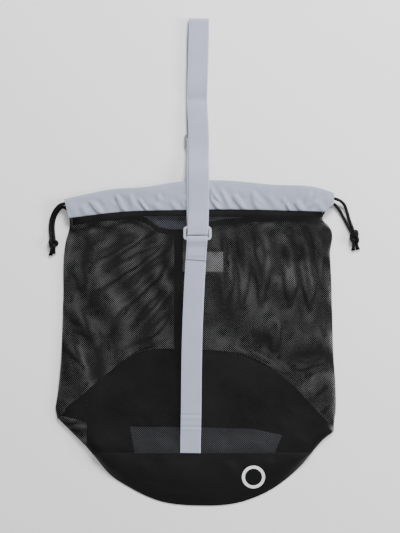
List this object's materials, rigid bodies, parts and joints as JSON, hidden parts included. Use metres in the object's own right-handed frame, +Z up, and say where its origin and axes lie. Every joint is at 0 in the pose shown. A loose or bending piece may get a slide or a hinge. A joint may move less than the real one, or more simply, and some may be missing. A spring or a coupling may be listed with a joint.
{
  "type": "mesh ball bag",
  "caption": "Drawstring mesh bag for carrying sports balls, lying flat on its back, with a solid fabric base and an adjustable webbing shoulder strap.",
  "frame": {"origin": "on the floor, under the middle of the bag's box without its drawcord ends", "axes": "+Z up from the floor the bag lies on, +Y from the base towards the top of the strap, +X to the right seen from above"},
  "size_m": [0.5664, 0.8832, 0.0268],
  "materials": {
    "mesh": "black polyester mesh with fine round holes",
    "base_fabric": "black coated polyester, smooth and dull",
    "collar_fabric": "cool grey plain-weave polyester",
    "webbing": "cool light grey polyester webbing",
    "cord": "black braided polyester cord",
    "ring_plastic": "pale grey moulded plastic",
    "slider_plastic": "grey moulded plastic",
    "label": "plain light grey woven patch",
    "print": "white screen print",
    "thread": "grey sewing thread",
    "black_tape": "black woven seam tape",
    "facing": "coated inner face, slightly shiny"
  },
  "bodies": {
    "bag": {"mesh_front_panel": "mesh", "mesh_back_panel": "mesh", "base_front_panel": "base_fabric", "base_back_panel": "base_fabric", "base_seam_binding": "black_tape", "arch_seam_tape": "black_tape", "back_seam_tape": "black_tape", "base_facing_strip": "facing", "label_patch": "label", "printed_mark": "print", "collar_front": "collar_fabric", "collar_back": "collar_fabric", "collar_seam_tape_front": "black_tape", "collar_seam_tape_back": "black_tape", "collar_side_seam_left": "collar_fabric", "collar_side_seam_right": "collar_fabric", "lower_strap": "webbing", "lower_strap_stitching": "thread", "strap_ring": "ring_plastic", "shoulder_strap_base": "webbing", "shoulder_strap_anchor": "webbing", "anchor_stitching": "thread"},
    "shoulder_loop": {"shoulder_strap_loop": "webbing", "strap_return_layer": "webbing"},
    "slider": {"strap_slider": "slider_plastic", "slider_sewn_end": "webbing"},
    "left_drawcord": {"left_cord_front_strand": "cord", "left_cord_front_hidden": "cord", "left_cord_back_strand": "cord", "left_cord_back_hidden": "cord", "left_cord_knot": "cord", "left_cord_tail_1": "cord", "left_cord_tail_2": "cord"},
    "right_drawcord": {"right_cord_front_strand": "cord", "right_cord_front_hidden": "cord", "right_cord_back_strand": "cord", "right_cord_back_hidden": "cord", "right_cord_knot": "cord", "right_cord_tail_1": "cord", "right_cord_tail_2": "cord"}
  },
  "joints": [
    {"name": "strap_loop_lift", "type": "hinge", "parent": "bag", "child": "shoulder_loop", "pos_m": [0.0046, 0.15, 0.0234], "axis": [1, 0, 0], "range_deg": [0, 150]},
    {"name": "slider_adjust", "type": "slide", "parent": "shoulder_loop", "child": "slider", "axis": [0, 1, 0], "range_m": [0, 0.15], "deforming": ["strap_return_layer"]},
    {"name": "left_cord_pull", "type": "slide", "parent": "bag", "child": "left_drawcord", "axis": [-1, 0, 0], "range_m": [0, 0.35]},
    {"name": "right_cord_pull", "type": "slide", "parent": "bag", "child": "right_drawcord", "axis": [1, 0, 0], "range_m": [0, 0.35]}
  ]
}
